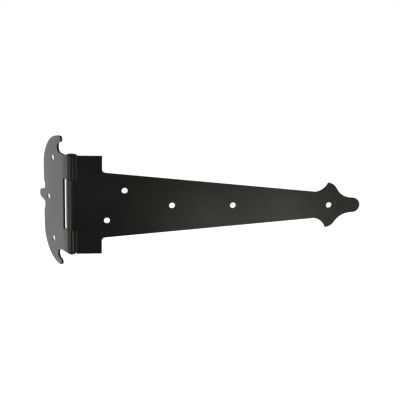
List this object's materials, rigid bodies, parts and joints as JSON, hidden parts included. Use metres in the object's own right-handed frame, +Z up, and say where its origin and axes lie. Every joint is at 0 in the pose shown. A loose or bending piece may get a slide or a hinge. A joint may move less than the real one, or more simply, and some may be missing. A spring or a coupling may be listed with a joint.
{
  "type": "t hinge",
  "caption": "T hinge with a tapered strap leaf ending in a pointed finial, a crescent frame leaf with hooked horns, and a steel pin through rolled knuckles.",
  "frame": {"origin": "the frame leaf's flush face, 18 mm from the pin's axis along the leaf and level with the middle of the pin, which is where it lies against a post or door frame", "axes": "+X along the strap from its knuckle to its finial, -Y out of the strap's flush face, so the eyes stand out toward +Y, and +Z up along the pin"},
  "size_m": [0.283, 0.0477, 0.114],
  "materials": {
    "frame_paint": "black powder coat, semi-gloss, very fine orange peel",
    "strap_paint": "black powder coat, semi-gloss, very fine orange peel",
    "pin_paint": "black coat over peened steel, slightly rubbed on the heads"
  },
  "bodies": {
    "frame_side": {"frame_leaf": "frame_paint", "hinge_pin": "pin_paint"},
    "strap_side": {"strap_leaf": "strap_paint"}
  },
  "joints": [
    {"name": "pin_hinge", "type": "hinge", "parent": "frame_side", "child": "strap_side", "pos_m": [0.01327, -0.01322, 0], "axis": [0, 0, 1], "range_deg": [-124.5, 125]}
  ]
}
